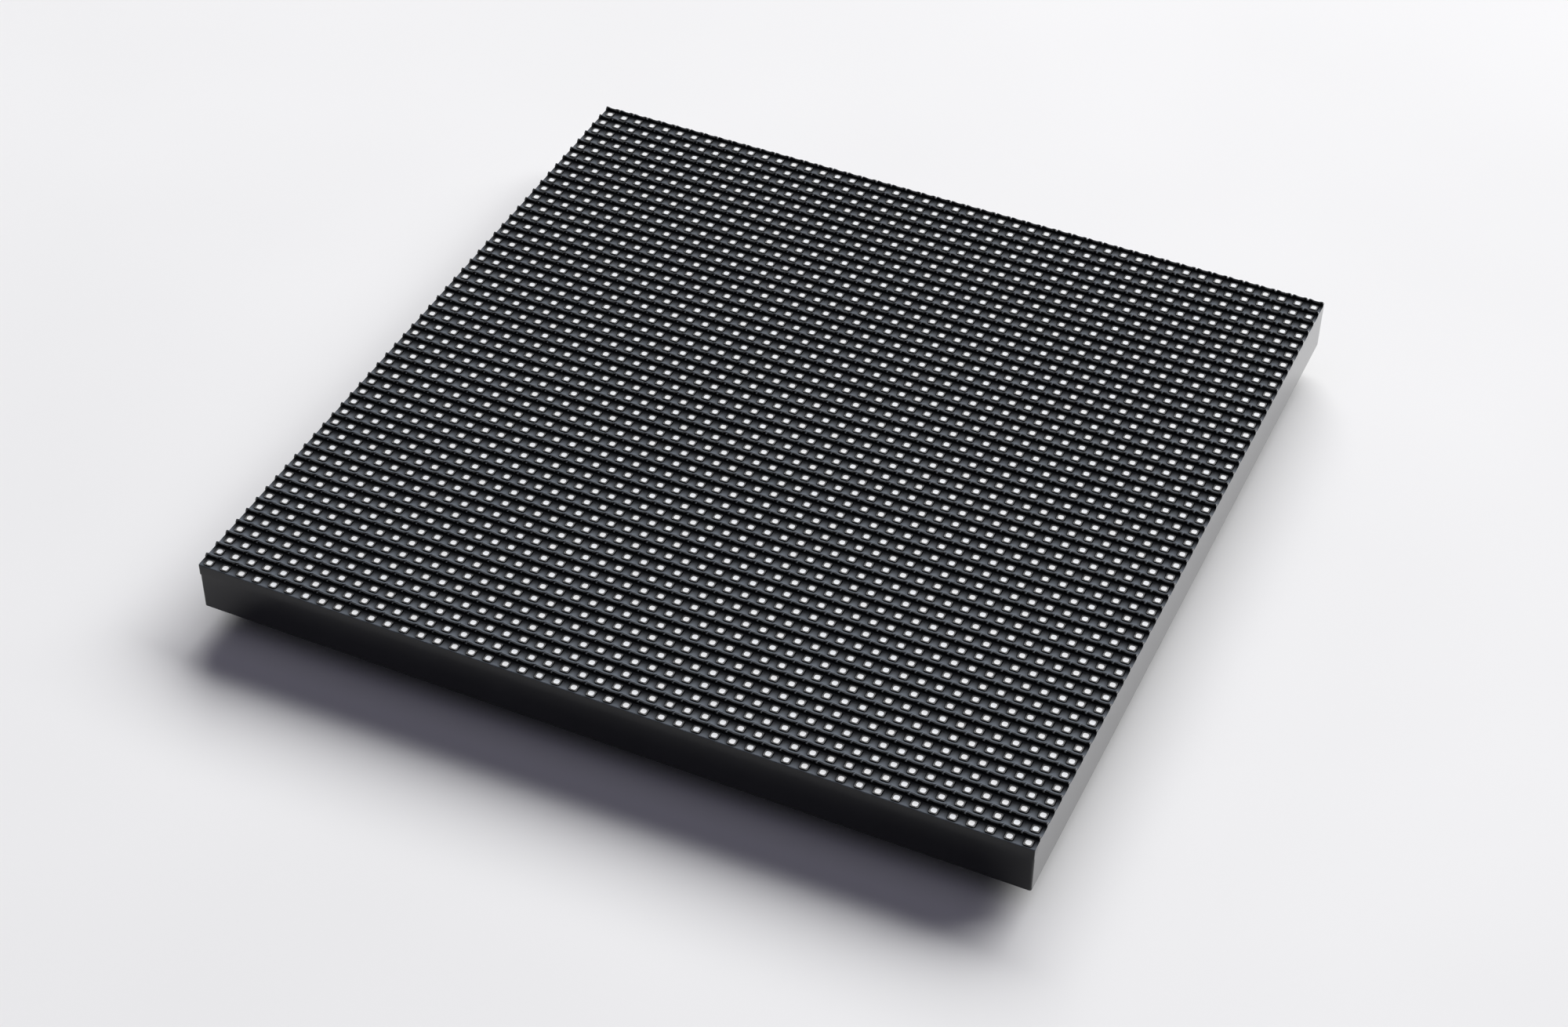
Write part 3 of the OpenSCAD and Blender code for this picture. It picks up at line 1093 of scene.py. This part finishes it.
        def beside(c: Vector) -> bool:
            """Whether a place lies on the underside of the four cells round a pillar."""
            near = any(abs(c.x - x) < pitch and abs(c.y - y - shift) < pitch for x, y in spots)
            return near and abs(c.z - z) < NEAR

        self.pick_faces(lambda face: beside(face.calc_center_median()))
        bpy.ops.mesh.delete(type="FACE")
        for x, y in spots:
            bpy.ops.mesh.primitive_circle_add(
                vertices=self.pillar_sides, radius=self.pillar_r, fill_type="NOTHING", location=(x, y, z)
            )
        self.fill_between()
        for spot in spots:
            middle = Vector((*spot, z))
            self.pick_edges(lambda edge: edge.is_boundary and (edge.verts[0].co - middle).length < pitch)
            self.draw_out((self.pillar_r, z), [(self.pillar_r, low), (bore, low), (bore, z)], spot)
            bpy.ops.mesh.edge_face_add()
        bpy.ops.mesh.select_all(action="SELECT")
        bpy.ops.mesh.dissolve_degenerate(threshold=NEAR)
        self.face_outwards()

    def build(self) -> None:
        """Builds both halves of the mask."""
        face = DustAndShadeFace("mask_face", self.grid.pitch, self.grid.origin())
        finishes = (MASK_BLACK.material(), face.material())
        for half in Half:
            self.half(half, finishes)


@dataclass
class LedField(Handwork):
    """The LED packages: a black frame round a sunk, rounded window of pale resin."""

    grid: DisplayGrid
    size: float = 1.8
    corner: float = 0.16
    window: float = 1.34
    window_r: float = 0.42
    sink: float = 0.04

    def half(self, half: Half, finishes: Sequence[Material]) -> None:
        """Models the LEDs of one half in place of their solids.

        Args:
            half: Which half.
            finishes: The finish of the packages, then that of the resin in them.
        """
        grid = self.grid
        x0, y0 = grid.first(half)
        top, low = grid.z_led, grid.z_board
        self.begin(f"led_packages_{half.value}")
        self.block((self.size, self.size, top - low), (x0, y0, (top + low) / 2))
        self.bevel(upright, self.corner)
        self.open_faces(lambda f: f.normal.z > FLAT)
        self.rounded_square(self.window, self.window_r, (x0, y0, top))
        self.fill_between()
        self.pick_edges(lambda e: e.is_boundary)
        self.slope_in(self.sink, self.window, (x0, y0, top))
        bpy.ops.mesh.edge_face_add()
        self.face_outwards()
        self.paint(*finishes)
        self.paint_second(lambda f: f.normal.z > FLAT and f.calc_center_median().z < top - self.sink / 2)
        self.tile(grid.pitch, grid.columns // 2, grid.rows)
        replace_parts(self.finish("led_resin"), f"leds_{half.value}")

    def build(self) -> None:
        """Builds the LEDs of both halves."""
        resin = LedResin("led_resin", self.grid.pitch, self.grid.origin())
        finishes = (PACKAGE_BLACK.material(), resin.material())
        for half in Half:
            self.half(half, finishes)


@dataclass
class RearFixings(Handwork):
    """What fastens the module: cross-recessed screws and threaded inserts in the posts."""

    grid: DisplayGrid
    sides: int = 24
    head_r: float = 2.0
    head_low: float = 7.0
    head_high: float = 8.5
    dome: float = 0.45
    dome_steps: int = 3
    arm_long: float = 1.05
    arm_half: float = 0.26
    arm_deep: float = 0.8
    arm_taper: float = 0.55
    core_r: float = 0.8
    groove: float = 0.14
    lead: float = 0.8
    shank_end: float = 14.9
    tip: float = 0.7
    tip_share: float = 1.0 / 3.0
    insert_r: float = 3.0
    insert_long: float = 8.0
    bore_r: float = 1.65
    thread_r: float = 1.95
    pitch: float = 0.7
    mouth: float = 0.3
    post_x: float = 72.0
    post_ys: tuple[float, ...] = (-64.0, 0.0, 64.0)

    def head(self) -> None:
        """Models a screw's domed head and sinks the cross into it from below."""

        def low(c: Vector) -> bool:
            """Whether a place is on the head's outer face."""
            return abs(c.z - self.head_low) < NEAR

        def in_cross(face: Face) -> bool:
            """Whether a face of the head's outer face lies in the cross."""
            ways = [sorted((abs(c.co.x), abs(c.co.y))) for c in face.verts]
            inside = all(a < self.arm_half + NEAR and b < self.arm_long + NEAR for a, b in ways)
            return inside and low(face.calc_center_median())

        self.rod(self.head_r, self.head_low, self.head_high, self.sides)
        self.bevel(lambda e: in_plane(e, 2, self.head_low), self.dome, self.dome_steps)
        for axis in (0, 1):
            for side in (-self.arm_half, self.arm_half):
                self.cut(axis, side, low)
        for axis in (0, 1):
            for side in (-self.arm_long, self.arm_long):
                self.cut(axis, side, lambda c: low(c) and abs(c[1 - axis]) < self.arm_half)
        self.pick_faces(in_cross)
        bpy.ops.mesh.extrude_region_move(TRANSFORM_OT_translate={"value": (0.0, 0.0, self.arm_deep)})
        self.taper(self.arm_taper, (0.0, 0.0, self.head_low))

    def shank(self) -> None:
        """Draws a screw's grooved shank out of its head and closes the tip."""
        top = self.head_high

        def at_top(face: Face) -> bool:
            """Whether a face is the head's inner one."""
            return face.normal.z > FLAT and abs(face.calc_center_median().z - top) < NEAR

        self.open_hole(at_top, self.head_r - self.core_r)
        self.pick_edges(lambda e: e.is_boundary)
        tip = self.shank_end - self.tip
        turns = int((tip - top) / self.lead)
        rings = thread(top, self.lead, turns, self.core_r - self.groove, self.core_r)
        rings += [(self.core_r, tip), (self.core_r * self.tip_share, self.shank_end)]
        self.draw_out((self.core_r, top), rings)
        bpy.ops.mesh.edge_face_add()
        self.face_outwards()

    def screws(self) -> Object:
        """Models one screw, recess downwards, and copies it to every boss.

        Returns:
            The finished screws.
        """
        self.begin("cross_screws")
        self.head()
        self.shank()
        self.spread(self.grid.screw_spots())
        self.paint(SCREW_STEEL.material())
        return self.finish("screw_steel")

    def inserts(self) -> Object:
        """Models one threaded insert and copies it to every post.

        Returns:
            The finished inserts.
        """
        self.begin("thread_inserts")
        self.rod(self.insert_r, 0.0, self.insert_long, self.sides)
        self.open_hole(lambda f: abs(f.normal.z) > FLAT, self.insert_r - self.thread_r)
        self.pick_edges(lambda e: e.is_boundary and in_plane(e, 2, 0.0))
        turns = int((self.insert_long - 2 * self.mouth) / self.pitch)
        rings = [(self.bore_r, self.mouth)]
        rings += thread(self.mouth, self.pitch, turns, self.thread_r, self.bore_r)
        rings += [(self.bore_r, self.insert_long - self.mouth), (self.thread_r, self.insert_long)]
        self.draw_out((self.thread_r, 0.0), rings)
        bpy.ops.mesh.select_all(action="SELECT")
        bpy.ops.mesh.remove_doubles(threshold=NEAR)
        self.face_outwards()
        self.spread([(side * self.post_x, y) for side in (-1.0, 1.0) for y in self.post_ys])
        self.paint(INSERT_BRASS.material())
        return self.finish("insert_brass")

    def build(self) -> None:
        """Builds screws and inserts in place of their solids."""
        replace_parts(self.screws(), "assembly_screws")
        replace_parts(self.inserts(), "threaded_inserts")


@dataclass
class HeaderPins(Handwork):
    """The square contacts of the headers, with chamfered edges and tapered tips that face the rear."""

    grid: DisplayGrid
    data_side: float = 0.64
    data_low: float = 7.1
    data_pitch: float = 2.54
    data_columns: int = 2
    data_rows: int = 8
    header_x: float = 48.0
    power_side: float = 1.14
    power_low: float = 5.2
    power_pitch: float = 3.96
    power_count: int = 4
    tip_share: float = 0.5
    chamfer_share: float = 0.1

    def pins(self, piece: str, side: float, low: float, spots: Sequence[Spot], finish: Finish) -> Object:
        """Models one pin and copies it.

        Args:
            piece: The name of the pins together.
            side: Side of a pin's square.
            low: Level of its tip.
            spots: Places of the pins on the plan.
            finish: Their finish, which has its slot's name.

        Returns:
            The finished pins.
        """
        level = self.grid.z_lip
        self.begin(piece)
        self.block((side, side, level - low), (0.0, 0.0, (level + low) / 2))
        self.cut(2, low + side, lambda c: True)
        self.bevel(upright, side * self.chamfer_share)
        if self.pick_corners(lambda c: c.z < low + NEAR):
            self.taper(self.tip_share, (0.0, 0.0, low))
        self.spread(spots)
        self.paint(finish.material())
        return self.finish(finish.name)

    def build(self) -> None:
        """Builds the data and power pins in place of their solids."""
        columns = centred(self.data_columns, self.data_pitch)
        rows = centred(self.data_rows, self.data_pitch)
        spots = [(x + dx, y) for x in (-self.header_x, self.header_x) for dx in columns for y in rows]
        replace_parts(self.pins("gold_pins", self.data_side, self.data_low, spots, PIN_GOLD), "data_pins")
        ends = [(x, 0.0) for x in centred(self.power_count, self.power_pitch)]
        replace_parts(self.pins("tin_pins", self.power_side, self.power_low, ends, PIN_TIN), "power_pins")


@dataclass
class CarriedParts:
    """The solids that keep their shape and get their finish here."""

    nodes: dict[str, Object]

    def dress(self) -> None:
        """Gives every solid that still shows its finish."""
        finishes = {
            BOARD_GREEN: ("led_board",),
            COVER_BLACK: ("rear_cover",),
            SILICONE_GREY: ("rear_gasket", "connector_seals"),
            HEADER_BLACK: ("data_header_in", "data_header_out", "capacitor_bases"),
            HEADER_IVORY: ("power_header",),
            CHIP_EPOXY: ("driver_ics", "row_switches", "signal_buffers", "row_decoders"),
            CAN_ALUMINIUM: ("bulk_capacitors",),
            CERAMIC: ("ceramic_capacitors",),
            RESISTOR: ("set_resistors", "resistor_networks"),
        }
        for finish, names in finishes.items():
            material = finish.material()
            for name in names:
                node = self.nodes[name]
                if node.material_slots:
                    node.material_slots[0].material = material
                else:
                    node.data.materials.append(material)
                LOG.info("%s: %s", name, finish.name)


@dataclass
class Studio:
    """Pale floor, a wide key light from behind, a weak fill overhead, and the camera."""

    floor_size: float = 6.0
    floor: Cloth = Cloth("pale_cloth", (0.86, 0.86, 0.855))
    key_way: Triple = (0.2, 1.1, 1.0)
    key_far: float = 5.0
    key_size: Spot = (8.0, 3.0)
    key_power: float = 490.0
    fill_way: Triple = (0.0, -0.25, 1.0)
    fill_far: float = 2.5
    fill_size: Spot = (3.0, 3.0)
    fill_power: float = 6.2
    fill_colour: Colour = (1.0, 0.95, 1.28)
    ambient: Colour = (0.026, 0.026, 0.031)
    white: Colour = (1.0, 1.0, 1.0)
    lens: float = 68.47
    sensor: float = 36.0
    clip_start: float = 0.01
    camera_at: Triple = (0.2094, -0.47175, 0.4537)
    right: Triple = (0.9088, 0.417, 0.0108)
    down: Triple = (0.2853, -0.6025, -0.7454)
    ahead: Triple = (-0.3043, 0.6806, -0.6665)

    def lay_floor(self) -> None:
        """Lays the floor under the post ends."""
        bpy.ops.object.select_all(action="DESELECT")
        bpy.ops.mesh.primitive_plane_add(size=self.floor_size, location=(0.0, 0.0, 0.0))
        floor = bpy.context.active_object
        floor.name = "floor"
        floor.data.materials.append(self.floor.material())

    def lamp(self, name: str, towards: Triple, far: float, size: Spot, power: float) -> Object:
        """Hangs a wide lamp that faces the panel.

        Args:
            name: The lamp's name.
            towards: The way from the panel to it.
            far: How far away it hangs.
            size: Its width and height.
            power: Its power in watts.

        Returns:
            The lamp.
        """
        way = Vector(towards).normalized()
        panel = bpy.data.lights.new(name, "AREA")
        panel.shape = "RECTANGLE"
        panel.size, panel.size_y = size
        panel.energy = power
        hung = bpy.data.objects.new(name, panel)
        hung.matrix_world = Matrix.Translation(way * far) @ way.to_track_quat("Z", "Y").to_matrix().to_4x4()
        bpy.context.scene.collection.objects.link(hung)
        return hung

    def light(self) -> None:
        """Hangs the two lamps and sets the world's even light, which the camera sees as white."""
        self.lamp("key", self.key_way, self.key_far, self.key_size, self.key_power)
        fill = self.lamp("fill", self.fill_way, self.fill_far, self.fill_size, self.fill_power)
        fill.data.color = self.fill_colour
        fill.visible_glossy = False
        world = bpy.data.worlds.new("studio")
        world.use_nodes = True
        bpy.context.scene.world = world
        tree = world.node_tree
        rays = tree.nodes.new("ShaderNodeLightPath")
        seen = rays.outputs["Is Camera Ray"]
        for name in ("Is Glossy Ray", "Is Transmission Ray"):
            either = tree.nodes.new("ShaderNodeMath")
            either.operation = "MAXIMUM"
            tree.links.new(seen, either.inputs[0])
            tree.links.new(rays.outputs[name], either.inputs[1])
            seen = either.outputs[0]
        sky = tree.nodes.new("ShaderNodeMix")
        sky.data_type = "RGBA"
        sky.inputs["A"].default_value = (*self.ambient, 1.0)
        sky.inputs["B"].default_value = (*self.white, 1.0)
        tree.links.new(seen, sky.inputs["Factor"])
        tree.links.new(sky.outputs["Result"], tree.nodes["Background"].inputs["Color"])

    def camera(self) -> None:
        """Sets the camera where the photograph was taken from."""
        lens = bpy.data.cameras.new("camera")
        lens.sensor_width = self.sensor
        lens.lens = self.lens
        lens.clip_start = self.clip_start
        camera = bpy.data.objects.new("camera", lens)
        right, up, back = Vector(self.right), -Vector(self.down), -Vector(self.ahead)
        turn = Matrix((right, up, back)).transposed().to_quaternion().to_matrix().to_4x4()
        camera.matrix_world = Matrix.Translation(self.camera_at) @ turn
        bpy.context.scene.collection.objects.link(camera)
        bpy.context.scene.camera = camera

    def build(self) -> None:
        """Sets up floor, lights, camera and the plain view transform."""
        self.lay_floor()
        self.light()
        self.camera()
        bpy.context.scene.view_settings.view_transform = "Standard"


def main() -> None:
    """Builds the dressed panel on its frame, with its floor, lights and camera."""
    logging.basicConfig(level=logging.INFO, format="%(name)s: %(message)s")
    for thing in list(bpy.data.objects):
        bpy.data.objects.remove(thing)
    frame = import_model()
    grid = DisplayGrid()
    Studio().build()
    LouvreMask(grid).build()
    LedField(grid).build()
    RearFixings(grid).build()
    HeaderPins(grid).build()
    CarriedParts(frame["nodes"]).dress()


if __name__ == "__main__":
    main()
